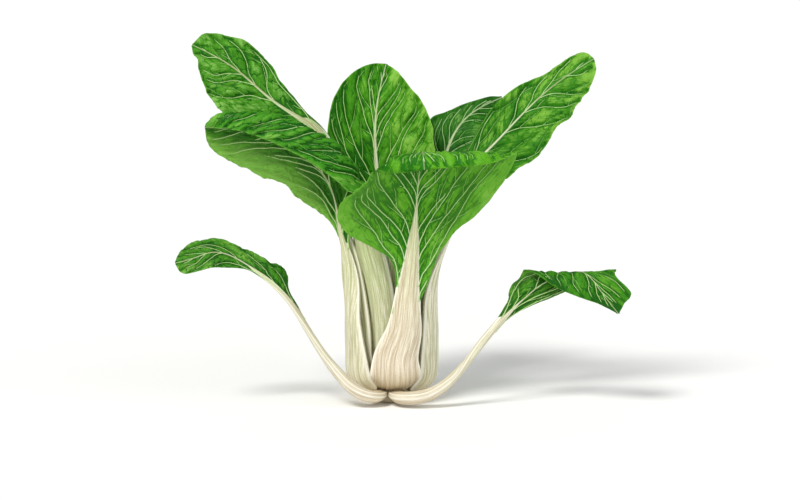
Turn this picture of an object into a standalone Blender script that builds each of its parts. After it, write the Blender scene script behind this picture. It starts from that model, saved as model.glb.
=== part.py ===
"""Bok choy: one head of white-stemmed pak choi, trimmed at the root and standing on its cut stem.

Run it with blender --background --python part.py, or from Blender's text editor.
The tables are in millimetres and degrees, and the meshes in metres. +Z is up, the origin is the
centre of the cut face, and -Y is the front of the head. Every leaf is one solid, stalk and blade
together, and stands clear of its neighbours by a small gap.
"""

import math
from dataclasses import dataclass

import bmesh
import bpy
import numpy as np

MM = 0.001

# The stem's outline, turned about +Z: radius and height, from the cut face to the growing tip.
STEM_OUTLINE = [
    (20.6, 0.0), (22.0, 1.6), (22.6, 5.0), (21.6, 8.5), (18.4, 11.8),
    (14.6, 15.6), (10.6, 20.5), (7.4, 26.0), (5.0, 33.0), (3.0, 46.0), (0.8, 58.0),
]
STEM_SIDES = 28

# Each whorl's stalks leave the stem at foot, bulge out at sheath and are upright at stand, which
# are (radius, height); thick is a stalk's thickness there.
WHORLS = {
    "outer": dict(foot=(23.6, 9.5), sheath=(30.8, 16.5), stand=(33.4, 34.0), thick=7.0),
    "front": dict(foot=(27.6, 16.0), sheath=(36.4, 21.5), stand=(39.6, 38.0), thick=7.0),
    "second": dict(foot=(15.6, 20.5), sheath=(23.0, 28.0), stand=(25.4, 46.0), thick=6.2),
    "third": dict(foot=(11.2, 26.5), sheath=(15.8, 34.0), stand=(17.8, 51.0), thick=5.2),
    "heart": dict(foot=(7.4, 33.0), sheath=(9.6, 40.0), stand=(10.6, 55.0), thick=4.2),
}
SPLAYED = dict(stand=(26.0, 0.0), thick=10.5)  # the two lowest leaves, which lie out on the ground

BLADE_THICK = 0.95   # thickness of a blade between its veins
INNER_SHARE = 0.35   # share of any thickness that lies on the upper face's side of the middle
TIP_RIB = 1.2        # half width of the midrib at the tip

STALK_ROWS = 8       # rows of faces along a stalk
COLUMNS = np.array([-1.0, -0.68, -0.36, -0.17, 0.0, 0.17, 0.36, 0.68, 1.0])
SPINE_SAMPLES = 600
CURL_STEPS = 32


@dataclass
class Leaf:
    """One leaf. A pair of numbers is (minus side, plus side) of the midrib."""

    name: str
    azimuth: float                # where its stalk stands round the stem, from +X
    whorl: str                    # a key of WHORLS, or "" for a splayed leaf, whose path is whole
    path: list                    # the midrib from above the stand to the tip
    reach: tuple                  # half width of the blade on each side, where outline gives none
    widest: tuple = (0.55, 0.55)  # share of the blade's length where each side is widest
    blunt: tuple = (2.3, 2.3)     # how square each side's tip is, where 2 is an ellipse
    waist: tuple = (1.4, 1.4)     # how slowly each side widens from the stalk
    blade_from: float = 0.5       # share of the leaf's length where the blade starts
    facing: tuple = ()            # where the upper face looks, spread from the blade's start to its tip
    curl: tuple = ((12, 12), (18, 18), (5, 5))  # how far each side turns up, spread likewise
    fold: tuple = (0.0, 1.0)      # shares of a side's width between which it turns
    stalk: tuple = (20.0, 8.0)    # half width of the stalk at the sheath and at its neck
    taper: float = 1.45           # how fast the stalk narrows above its sheath, where 1 is evenly
    neck_at: float = 0.52         # share of the leaf's length where the neck is
    neck_thick: float = 4.6       # thickness of the stalk at the neck
    foot: float = 0.75            # a stalk's width where it leaves the stem, as a share of its sheath's
    outline: tuple = ()           # each side's own (share of the blade, half width), in place of the rule
    slew: tuple = ()              # the plus side's way on a blade that folds over aslant
    blade_rows: int = 11          # rows of faces along the blade
    colour: tuple = (0.09, 0.25, 0.03)  # linear colour of its blade


LEAVES = [
    Leaf("front_leaf", 275, "front",
         [(8.8, -39.2, 57), (11.5, -39.2, 81), (13.5, -39.4, 101), (16.6, -41, 129), (19, -46, 161),
          (21, -55, 186), (22.8, -67, 202.5), (23.8, -80, 203), (24.8, -88, 192)],
         outline=([(0, 0), (0.1, 1.5), (0.18, 6), (0.24, 10), (0.283, 14.5), (0.301, 20), (0.33, 31),
                   (0.36, 42), (0.391, 51), (0.435, 58), (0.49, 61), (0.55, 61), (0.61, 58), (0.67, 51),
                   (0.73, 45), (0.8, 43), (0.87, 42), (0.93, 39), (0.97, 33), (0.99, 23), (1, 0)],
                  [(0, 0), (0.08, 3), (0.16, 11), (0.27, 17), (0.32, 19), (0.37, 24), (0.46, 36),
                   (0.505, 46), (0.55, 53), (0.6, 58.5), (0.76, 71), (0.83, 73), (0.89, 72), (0.93, 68),
                   (0.96, 61), (0.98, 52), (0.99, 41), (1, 0)]),
         reach=(60, 78), blade_from=0.26, curl=((2, 4), (4, 0), (-18, -4), (-45, -3), (-48, 0)),
         stalk=(20.5, 3.4), neck_at=0.62, foot=0.82, blade_rows=20, colour=(0.12, 0.30, 0.035)),
    Leaf("left_folded_leaf", 197, "outer",
         [(-32.7, -11.5, 57), (-32.8, -12.3, 81.5), (-35.2, -13.5, 114), (-40.5, -14, 139.6),
          (-43.5, -15, 157), (-50.3, -17.5, 177.4), (-69.6, -24, 199), (-95, -31, 213),
          (-118, -36, 219.5), (-145, -41, 221)],
         facing=((0.5, 0.85, 0.2), (0.1, 0.95, 0.3), (0.1, 0.95, 0.3)),
         outline=([(0, 0), (0.1, 2), (0.17, 7), (0.21, 14), (0.26, 22), (0.31, 28), (0.38, 31),
                   (0.47, 30.5), (0.56, 32), (0.65, 34), (0.75, 32), (0.89, 26.5), (0.96, 19), (0.99, 11),
                   (1, 0)], ()),
         reach=(38, 58), widest=(0.42, 0.3), waist=(1.6, 1.6), blunt=(2.3, 2.0), blade_from=0.38,
         curl=((5, 20), (-8, -120), (-8, -170), (0, -150)), fold=(0.3, 0.75), stalk=(25.0, 3.2),
         taper=1.0, neck_at=0.42, blade_rows=14, colour=(0.13, 0.31, 0.05)),
    Leaf("left_high_leaf", 195, "second",
         [(-26, -5.5, 73), (-33, -1, 117), (-43, 3, 165), (-61, 0, 214), (-92.4, -6, 238),
          (-123.6, -10, 265), (-156.8, -14, 284)],
         outline=([(0, 0), (0.28, 1.5), (0.33, 3), (0.38, 7), (0.43, 11), (0.49, 14), (0.56, 17.5),
                   (0.62, 20.5), (0.67, 22.5), (0.74, 24), (0.83, 22.5), (0.89, 19.5), (0.95, 15),
                   (0.98, 10), (1, 0)],
                  [(0, 0), (0.2, 1.5), (0.3, 6), (0.4, 15), (0.5, 27), (0.58, 36), (0.65, 40),
                   (0.72, 39.5), (0.8, 35), (0.86, 28.5), (0.9, 22), (0.93, 15), (0.955, 9.5), (0.98, 6),
                   (1, 0)]),
         facing=((0.8, -0.5, 0.2), (0.4, -0.85, 0.4), (0.3, -0.85, 0.4)),
         reach=(22, 38), blade_from=0.5, stalk=(16.5, 10.0), colour=(0.10, 0.27, 0.035)),
    Leaf("back_centre_leaf", 114, "second",
         [(-9, 24, 76), (-9.8, 25, 125), (-11.4, 27, 170), (-13.8, 30, 202), (-12.2, 35, 234),
          (-4.9, 42, 267)],
         outline=([(0, 0), (0.1, 5.5), (0.2, 22), (0.3, 40), (0.38, 47.5), (0.47, 49), (0.6, 47.5),
                   (0.69, 44), (0.76, 40), (0.8, 37), (0.845, 33), (0.885, 25.5), (0.935, 17.5),
                   (0.975, 10), (1, 0)],
                  [(0, 0), (0.1, 2.5), (0.2, 11), (0.3, 23.5), (0.4, 34), (0.5, 39), (0.6, 39.5),
                   (0.69, 38), (0.76, 35), (0.82, 32), (0.88, 26.5), (0.935, 20), (0.97, 13.5), (0.99, 7),
                   (1, 0)]),
         facing=((0.1, -1, 0.1), (0.0, -1, 0.15)),
         reach=(54, 38), blade_from=0.45, stalk=(13.5, 10.5)),
    Leaf("back_right_leaf", 40, "second",
         [(21.8, 18, 85), (28.3, 24, 129), (36.5, 31, 161), (41.5, 37, 183), (47.5, 43, 203),
          (59, 49, 221), (90, 58, 239)],
         outline=((),
                  [(0, 0), (0.1, 3), (0.2, 8), (0.35, 17), (0.5, 22), (0.6, 24), (0.665, 23), (0.715, 17),
                   (0.79, 10), (0.87, 6.5), (0.94, 4.5), (1, 0)]),
         facing=((-0.5, -0.8, 0.2), (-0.3, -0.95, 0.2)),
         reach=(30, 21), widest=(0.6, 0.5), blade_from=0.42, stalk=(14.5, 11.0),
         colour=(0.06, 0.19, 0.045)),
    Leaf("right_long_leaf", 345, "outer",
         [(32.2, -9.5, 57), (32.4, -10, 94), (38.5, -10, 121), (46, -9, 141), (56.4, -8, 167.5),
          (67.5, -7, 190.5), (80, -6, 204), (106.8, -7, 232.5), (132.6, -9, 255.5), (158.8, -13, 273)],
         outline=([(0, 0), (0.1, 4), (0.2, 15), (0.28, 26), (0.35, 33), (0.42, 34.5), (0.52, 38),
                   (0.6, 36.5), (0.67, 33.5), (0.76, 31.5), (0.85, 26), (0.92, 21.5), (0.97, 14),
                   (0.99, 8), (1, 0)],
                  [(0, 0), (0.1, 1.5), (0.2, 5), (0.3, 10.5), (0.38, 15.5), (0.45, 19.5), (0.54, 21.5),
                   (0.62, 21), (0.68, 19), (0.74, 15.5), (0.79, 12.5), (0.85, 11.5), (0.92, 12.5),
                   (0.965, 10), (0.99, 6), (1, 0)]),
         facing=((-0.8, -0.4, 0.2), (-0.35, -0.85, 0.4), (-0.3, -0.85, 0.4)),
         reach=(35, 18), blade_from=0.42, stalk=(20.5, 6.0), taper=1.2, colour=(0.10, 0.27, 0.035)),
    Leaf("left_splayed_leaf", 250, "",
         [(-10.5, -25.5, 8), (-13.5, -35, 8.8), (-22, -41.5, 12), (-36, -41, 22.5), (-57, -38, 48),
          (-67, -36, 63.5), (-81.5, -35, 85.5), (-96, -35, 100.5), (-113.5, -36, 112.5), (-129, -38, 121),
          (-141, -41, 123), (-153, -44, 119.5), (-168.7, -48, 115.6)],
         outline=([(0, 0), (0.1, 3), (0.2, 4.5), (0.26, 9), (0.3, 15.5), (0.335, 18.5), (0.37, 17.5),
                   (0.42, 14.5), (0.55, 13), (0.64, 11.5), (0.72, 13.5), (0.78, 12.5), (0.86, 14),
                   (0.93, 11), (0.97, 6.5), (1, 0)],
                  [(0, 0), (0.45, 0.3), (0.51, 2), (0.56, 5), (0.62, 8.5), (0.7, 10.5), (0.79, 12),
                   (0.89, 10.5), (0.95, 10), (0.985, 7), (1, 0)]),
         facing=((0.8, -0.3, 0.5), (0.2, -0.85, 0.5), (0.1, -0.85, 0.5)),
         reach=(24, 16), blade_from=0.42, curl=((0, 0), (-25, -20), (-25, -25)), stalk=(8.0, 3.8),
         neck_at=0.34, neck_thick=5.8),
    Leaf("right_splayed_leaf", 290, "",
         [(4.5, -25.5, 8), (6, -35.5, 8.4), (14, -42, 9.2), (27, -43, 11.6), (42, -42, 20),
          (56.5, -40, 34.5), (75, -37, 56.5), (92, -34, 75), (106, -33, 87.5), (120.5, -32, 98.5),
          (134, -32, 104), (147, -37, 107), (154.5, -44, 104), (162, -49, 95), (168.5, -51, 86.5),
          (176.5, -52, 76.5)],
         outline=([(0, 0), (0.12, 3), (0.19, 6.5), (0.26, 11), (0.33, 16.5), (0.4, 22), (0.46, 26),
                   (0.55, 33), (0.67, 41), (0.75, 38), (0.8, 34), (0.84, 28), (0.88, 20), (0.92, 10),
                   (0.96, 5), (1, 0)],
                  [(0, 0), (0.1, 2.5), (0.17, 6), (0.2, 9.5), (0.25, 18), (0.31, 24.5), (0.35, 28),
                   (0.42, 33), (0.5, 37), (0.58, 36), (0.67, 25), (0.75, 20.5), (0.84, 23), (0.88, 19.5),
                   (0.92, 12), (0.96, 6), (1, 0)]),
         facing=((-0.4, 0.8, 0.4), (-0.4, 0.8, 0.4)),
         reach=(40, 38), blade_from=0.44, slew=(1, 0, 0), curl=((0, 0), (4, 4), (0, 0)), stalk=(8.0, 3.8),
         neck_at=0.34, neck_thick=5.8),
    Leaf("rear_leaf", 95, "outer",
         [(-3, 34, 60), (-3, 38, 100), (-2, 46, 140), (0, 58, 175), (2, 76, 205), (4, 100, 226)],
         reach=(40, 40), blade_from=0.45, stalk=(21.5, 11.0)),
    Leaf("inner_front_leaf", 300, "second",
         [(13, -22.5, 80), (16, -24, 120), (19, -26, 150), (22, -30, 180)],
         reach=(20, 20), blade_from=0.5, stalk=(15.5, 10.0), blade_rows=8, colour=(0.16, 0.36, 0.05)),
    Leaf("inner_left_leaf", 235, "third",
         [(-13.5, -14.5, 90), (-20.6, -16.6, 122), (-23.8, -18.6, 148), (-20, -21, 170)],
         reach=(12, 12), blade_from=0.82, stalk=(14.5, 15.8), neck_at=0.8, blade_rows=8,
         colour=(0.28, 0.48, 0.12)),
    Leaf("inner_right_leaf", 345, "third",
         [(18.5, -4.5, 90), (22, -4, 125), (30, -5, 168)],
         reach=(20, 20), blade_from=0.55, stalk=(12.0, 9.0), blade_rows=8, colour=(0.20, 0.42, 0.07)),
    Leaf("inner_rear_leaf", 80, "third",
         [(2.5, 18.5, 90), (2, 19, 125), (2, 19.5, 160)],
         reach=(18, 18), blade_from=0.55, stalk=(13.0, 9.0), blade_rows=8, colour=(0.20, 0.42, 0.07)),
    Leaf("heart_front_leaf", 285, "heart",
         [(0, -10, 89), (-1.2, -12.5, 105), (-1.8, -16, 122), (-2.2, -18, 140), (-1.5, -18, 161)],
         reach=(13, 13), blade_from=0.78, stalk=(8.8, 7.6), neck_at=0.75, neck_thick=3.6, blade_rows=8,
         colour=(0.32, 0.52, 0.14)),
    Leaf("heart_rear_leaf", 105, "heart",
         [(-2.8, 9, 90), (-3, 7, 120), (-4, 4, 148)],
         reach=(12, 12), blade_from=0.5, stalk=(8.6, 6.0), neck_thick=3.6, blade_rows=8,
         colour=(0.32, 0.52, 0.14)),
]


def through(points):
    """A natural cubic spline through the points, as many close points and their running length."""
    points = np.array(points, float)
    keys = np.r_[0, np.cumsum(np.linalg.norm(np.diff(points, axis=0), axis=1))]
    gap = np.diff(keys)
    count = len(points)
    system = np.eye(count)
    right = np.zeros_like(points)
    for i in range(1, count - 1):
        system[i, i - 1:i + 2] = gap[i - 1], 2 * (gap[i - 1] + gap[i]), gap[i]
        right[i] = 6 * ((points[i + 1] - points[i]) / gap[i] - (points[i] - points[i - 1]) / gap[i - 1])
    bend = np.linalg.solve(system, right)
    at = np.linspace(0, keys[-1], SPINE_SAMPLES)
    i = np.clip(np.searchsorted(keys, at) - 1, 0, count - 2)
    h = gap[i][:, None]
    after = (at - keys[i])[:, None] / h
    before = 1 - after
    line = (before * points[i] + after * points[i + 1]
            + ((before**3 - before) * bend[i] + (after**3 - after) * bend[i + 1]) * h**2 / 6)
    return line, np.r_[0, np.cumsum(np.linalg.norm(np.diff(line, axis=0), axis=1))]


def eased(keys, values, at):
    """A monotone cubic curve through values at keys, which never overshoots them."""
    keys = np.asarray(keys, float)
    values = np.asarray(values, float).reshape(len(keys), -1)
    gap = np.diff(keys)[:, None]
    slope = np.diff(values, axis=0) / gap
    tangent = np.zeros_like(values)
    tangent[0], tangent[-1] = slope[0], slope[-1]
    same = slope[:-1] * slope[1:] > 0
    tangent[1:-1][same] = 2 / (1 / slope[:-1][same] + 1 / slope[1:][same])
    i = np.clip(np.searchsorted(keys, at) - 1, 0, len(keys) - 2)
    t = np.clip((at - keys[i]) / gap[i, 0], 0, 1)[:, None]
    h = gap[i]
    found = ((1 + 2 * t) * (1 - t)**2 * values[i] + t * (1 - t)**2 * h * tangent[i]
             + t * t * (3 - 2 * t) * values[i + 1] + t * t * (t - 1) * h * tangent[i + 1])
    return found[:, 0] if found.shape[1] == 1 else found


def unit(vectors):
    return vectors / np.linalg.norm(vectors, axis=-1, keepdims=True)


def outward(azimuth):
    turn = math.radians(azimuth)
    return np.array([math.cos(turn), math.sin(turn), 0.0])


def spine(leaf):
    """The leaf's whole midrib: up its whorl's sheath, then along its own path."""
    if not leaf.whorl:
        return through(leaf.path)
    whorl = WHORLS[leaf.whorl]
    rise = [outward(leaf.azimuth) * radius + (0, 0, height)
            for radius, height in (whorl["foot"], whorl["sheath"], whorl["stand"])]
    return through(rise + [np.array(p, float) for p in leaf.path])


def frames(leaf, shares):
    """Along the leaf: midrib points, the way to the plus side, and the way the upper face looks."""
    line, run = spine(leaf)
    at = shares * run[-1]
    centre = np.stack([np.interp(at, run, line[:, k]) for k in range(3)], axis=1)
    slope = np.gradient(line, run, axis=0)
    ahead = unit(np.stack([np.interp(at, run, slope[:, k]) for k in range(3)], axis=1))
    home = -outward(leaf.azimuth) if leaf.whorl else np.array([0.0, 0.0, 1.0])
    if leaf.facing:
        keys = np.r_[0, leaf.blade_from * 0.55, np.linspace(leaf.blade_from, 1, len(leaf.facing))]
        face = eased(keys, [home, home, *leaf.facing], shares)
        side = np.cross(unit(face - (face * ahead).sum(1, keepdims=True) * ahead), ahead)
        if leaf.slew:
            from_to = leaf.blade_from + (1 - leaf.blade_from) * np.array([0.02, 0.25])
            part = eased([0, *from_to, 1], [0, 0, 1, 1], shares)[:, None]
            side = unit(side * (1 - part) + unit(np.array(leaf.slew)) * part)
        return centre, side, unit(np.cross(ahead, side)), run[-1]
    across = np.array([home[1], -home[0], 0.0])
    side = unit(across - (ahead @ across)[:, None] * ahead)
    return centre, side, np.cross(ahead, side), run[-1]


def widths(leaf, shares, length):
    """Half width of the stalk and midrib, and of the whole leaf on each side."""
    base, neck = leaf.stalk
    swell = min(0.14, 16 / length)
    down = np.clip((leaf.neck_at - shares) / (leaf.neck_at - swell), 0, 1)
    up = np.clip((shares - leaf.neck_at) / (1 - leaf.neck_at), 0, 1)
    heel = np.sqrt(1 - (1 - np.clip(shares / swell, 0, 1))**2)
    rib = neck + (base - neck) * down**leaf.taper + (TIP_RIB - neck) * up
    rib = rib * (leaf.foot + (1 - leaf.foot) * heel)
    blade = np.clip((shares - leaf.blade_from) / (1 - leaf.blade_from), 0, 1)
    sides = []
    for which, (reach, widest, waist, blunt) in enumerate(
            zip(leaf.reach, leaf.widest, leaf.waist, leaf.blunt)):
        if leaf.outline and leaf.outline[which]:
            keys = np.array(leaf.outline[which])
            wing = eased(keys[:, 0], keys[:, 1], blade)
        else:
            rise = (0.5 - 0.5 * np.cos(math.pi * np.minimum(blade / widest, 1)))**waist
            fall = (1 - np.clip((blade - widest) / (1 - widest), 0, 1)**blunt)**(1 / blunt)
            wing = reach * rise * fall
        sides.append(np.hypot(rib, wing))
    return rib, sides, blade


def surface(leaf, shares, columns):
    """Points on the leaf's middle, the way its upper face looks there, and its thickness."""
    centre, side, face, length = frames(leaf, shares)
    rib, sides, blade = widths(leaf, shares, length)
    whorl = WHORLS.get(leaf.whorl, SPLAYED)
    hug = np.degrees(rib / whorl["stand"][0])
    spread = eased([0, 0.12, 0.35, 1], [0, 0, 1, 1], blade)
    body = eased([0, 0.1, leaf.neck_at, leaf.neck_at * 0.6 + 0.4, 1],
                 [whorl["thick"] * 0.8, whorl["thick"], leaf.neck_thick, leaf.neck_thick * 0.45 + 0.6,
                  BLADE_THICK * 1.15], shares)
    points = np.empty((len(shares), len(columns), 3))
    normals = np.empty_like(points)
    thick = np.empty(points.shape[:2])
    for which, sign in ((0, -1), (1, 1)):
        mine = np.flatnonzero(columns * sign >= 0)
        curls = eased(np.linspace(0, 1, len(leaf.curl)), [pair[which] for pair in leaf.curl], blade)
        turn = np.radians(hug * (1 - spread) + curls * spread)[:, None]
        wide = sides[which][:, None]
        even = np.abs(columns[mine])[None, :]
        inner = np.minimum(even / 0.36, 1) * 1.12 * rib[:, None]
        split = inner + np.clip((even - 0.36) / 0.64, 0, 1) * (wide - 1.12 * rib[:, None])
        bladed = np.clip((wide / rib[:, None] - 1.25) / 1.25, 0, 1)
        out = (even * wide * (1 - bladed) + split * bladed) / wide
        start = leaf.fold[0] * spread[:, None]
        end = 1 - (1 - leaf.fold[1]) * spread[:, None]
        x = np.zeros_like(out)
        y = np.zeros_like(out)
        for step in range(CURL_STEPS):
            at = out * (step + 0.5) / CURL_STEPS
            angle = turn * np.clip((at - start) / (end - start), 0, 1)
            x += np.cos(angle) * out / CURL_STEPS
            y += np.sin(angle) * out / CURL_STEPS
        angle = (turn * np.clip((out - start) / (end - start), 0, 1))[..., None]
        points[:, mine] = (centre[:, None] + sign * (x * wide)[..., None] * side[:, None]
                           + (y * wide)[..., None] * face[:, None])
        normals[:, mine] = np.cos(angle) * face[:, None] - sign * np.sin(angle) * side[:, None]
        across = np.clip(out * wide / (1.12 * rib[:, None]), 0, 1)
        thick[:, mine] = BLADE_THICK + (body[:, None] - BLADE_THICK) * (1 - across**2)
    return points, normals, thick


def rows_of(leaf):
    """Shares of the leaf's length where its rows of vertices lie, closer together near both ends."""
    stalk = np.linspace(0, 1, STALK_ROWS + 1)**1.25 * leaf.blade_from
    turns = np.linspace(0, math.pi / 2, leaf.blade_rows + 1)
    blade = np.sin(turns) * (1 - leaf.blade_from) + leaf.blade_from
    return np.r_[stalk, blade[1:]]


def skin(upper, lower):
    """Vertices and outward faces of the closed solid between two grids of points."""
    rows, columns = upper.shape[:2]
    top = np.arange(rows * columns).reshape(rows, columns)
    low = top + rows * columns
    faces = []
    for i in range(rows - 1):
        for j in range(columns - 1):
            faces.append((top[i, j], top[i + 1, j], top[i + 1, j + 1], top[i, j + 1]))
            faces.append((low[i, j], low[i, j + 1], low[i + 1, j + 1], low[i + 1, j]))
    for i in range(rows - 1):
        faces.append((top[i, 0], low[i, 0], low[i + 1, 0], top[i + 1, 0]))
        faces.append((top[i, -1], top[i + 1, -1], low[i + 1, -1], low[i, -1]))
    for j in range(columns - 1):
        faces.append((top[0, j], top[0, j + 1], low[0, j + 1], low[0, j]))
        faces.append((top[-1, j], low[-1, j], low[-1, j + 1], top[-1, j + 1]))
    return np.concatenate([upper.reshape(-1, 3), lower.reshape(-1, 3)]), faces


def make_material(name, colour, roughness):
    material = bpy.data.materials.new(name)
    material.use_nodes = True
    shader = material.node_tree.nodes["Principled BSDF"]
    shader.inputs["Base Color"].default_value = (*colour, 1)
    shader.inputs["Roughness"].default_value = roughness
    shader.inputs["Metallic"].default_value = 0
    return material


def place(name, mesh, material, origin, parent):
    """Name a mesh's object, give it its material, and put its origin where it grows from."""
    mesh.materials.append(material)
    mesh.shade_smooth()
    obj = bpy.data.objects.new(name, mesh)
    obj.location = origin * MM
    obj.parent = parent
    bpy.context.scene.collection.objects.link(obj)
    return obj


def add_leaf(leaf, head):
    points, normals, thick = surface(leaf, rows_of(leaf), COLUMNS)
    upper = points + normals * (thick * INNER_SHARE)[..., None]
    lower = points - normals * (thick * (1 - INNER_SHARE))[..., None]
    vertices, faces = skin(upper, lower)
    foot = spine(leaf)[0][0]
    mesh = bpy.data.meshes.new(leaf.name)
    mesh.from_pydata(((vertices - foot) * MM).tolist(), [], [tuple(map(int, f)) for f in faces])
    return place(leaf.name, mesh, make_material(leaf.name, leaf.colour, 0.45), foot, head)


def add_stem(head):
    """The cut stem that every leaf grows from, turned from its outline about +Z."""
    form = bmesh.new()
    ring = [form.verts.new((radius * MM, 0, height * MM)) for radius, height in STEM_OUTLINE]
    edges = [form.edges.new(pair) for pair in zip(ring, ring[1:])]
    bmesh.ops.spin(form, geom=ring + edges, cent=(0, 0, 0), axis=(0, 0, 1), angle=2 * math.pi,
                   steps=STEM_SIDES, use_merge=True)
    bmesh.ops.holes_fill(form, edges=[edge for edge in form.edges if edge.is_boundary])
    bmesh.ops.recalc_face_normals(form, faces=form.faces)
    mesh = bpy.data.meshes.new("cut_stem")
    form.to_mesh(mesh)
    form.free()
    return place("cut_stem", mesh, make_material("cut_stem", (0.80, 0.76, 0.62), 0.5), np.zeros(3), head)


def main():
    for obj in list(bpy.data.objects):
        bpy.data.objects.remove(obj)
    head = bpy.data.objects.new("bok_choy", None)
    bpy.context.scene.collection.objects.link(head)
    add_stem(head)
    for leaf in LEAVES:
        add_leaf(leaf, head)


main()
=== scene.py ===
import math
from dataclasses import dataclass
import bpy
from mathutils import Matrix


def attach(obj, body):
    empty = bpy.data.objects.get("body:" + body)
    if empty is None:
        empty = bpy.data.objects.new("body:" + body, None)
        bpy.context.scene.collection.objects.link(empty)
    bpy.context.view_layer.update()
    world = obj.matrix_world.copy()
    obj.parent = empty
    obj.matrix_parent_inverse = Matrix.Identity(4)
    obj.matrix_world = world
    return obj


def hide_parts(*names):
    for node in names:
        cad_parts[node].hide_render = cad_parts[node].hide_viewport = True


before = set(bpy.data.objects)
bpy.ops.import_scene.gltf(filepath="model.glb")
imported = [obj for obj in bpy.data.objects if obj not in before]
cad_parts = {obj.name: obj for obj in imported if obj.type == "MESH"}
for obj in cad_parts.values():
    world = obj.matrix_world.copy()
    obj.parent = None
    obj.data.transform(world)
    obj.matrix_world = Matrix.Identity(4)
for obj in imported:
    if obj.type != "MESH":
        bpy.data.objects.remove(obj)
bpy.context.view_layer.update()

from types import SimpleNamespace

import bpy
import numpy as np
from mathutils import Vector
from mathutils.kdtree import KDTree

MM = 0.001

# ---- the head, with the sizes of its solids
# Lengths are in millimetres and angles in degrees. +Z is up and -Y is the front.

# The stem's outline, turned about +Z: radius and height, from the cut face to the growing tip.
STEM_OUTLINE = [
    (20.6, 0), (22, 1.6), (22.6, 5), (21.6, 8.5), (18.4, 11.8),
    (14.6, 15.6), (10.6, 20.5), (7.4, 26), (5, 33), (3, 46), (0.8, 58),
]

# Each whorl's stalks leave the stem at foot, bulge out at sheath and are upright at stand, all
# (radius, height), and thick is their thickness at sheath. The solids end at foot, clear of the
# stem, and the fine surface is carried on for root towards it.
WHORLS = {
    "outer": dict(foot=(23.6, 9.5), sheath=(30.8, 16.5), stand=(33.4, 34), thick=7, root=3.5),
    "front": dict(foot=(27.6, 16), sheath=(36.4, 21.5), stand=(39.6, 38), thick=7, root=9.5),
    "second": dict(foot=(15.6, 20.5), sheath=(23, 28), stand=(25.4, 46), thick=6.2, root=5),
    "third": dict(foot=(11.2, 26.5), sheath=(15.8, 34), stand=(17.8, 51), thick=5.2, root=4),
    "heart": dict(foot=(7.4, 33), sheath=(9.6, 40), stand=(10.6, 55), thick=4.2, root=3),
}
SPLAYED = dict(stand=(26, 0), thick=10.5, root=4)  # the two leaves that splay out low down

# ---- numbers for shaping and meshing
ROOT_RUN = 12        # how far up its foot a stalk is stretched for root
BLADE_THICK = 0.75   # thickness of a blade between its veins, a little under its solid's
EDGE_THICK = 0.4     # and at its margin
INNER_SHARE = 0.35   # share of a thickness that is on the upper face's side of the middle
TIP_RIB = 1.2        # half width of the midrib at the tip
RIB_OUT = 1.12       # how many half widths out a midrib's thick part ends
UNEVEN = 0.6         # how far a margin waves in and out
DOME = 8             # how far from a vein the swelling beside it is full

SPINE_SAMPLES = 600
CURL_STEPS = 32
STALK_STEP = 2       # distance between rows of vertices on a stalk
TIP_FROM = 0.92      # share of the blade beyond which its rows lie closer together
TIP_ROWS = 16
RIB_EDGE = 0.36      # columns run from 0 to 1 on each side, with the midrib up to here
RIB_COLUMNS = 9
STEM_ROWS = 110
STEM_SIDES = 120

VEIN_STEP = 2        # a vein grows by this much at a time
MAIN_VEIN = (0.7, 1, 80, 0)     # half width at its bud, strength, steps and branching depth
SHORT_VEIN = (0.34, 0.5, 9, 2)  # every fourth one; a fork's depth is one more than its parent's
THINNEST = 0.12      # half width at which a vein ends
PARTING = 0.25       # half width from which a vein parts the swellings
TUBE_SIDES = 6       # tube_faces closes the ends of just this many
TUBE_TOP = 0.866     # how high such a ring of radius 1 stands

STALK_PALE_AND_RIM_HIGHLIGHT = (246, 243, 230)  # colours are 0-255 screen values: a stalk's pale threads, and the painted highlight along its edges
FOOT_BROWN = (196, 178, 138)     # and the browner tone its foot is tinged with


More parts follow.
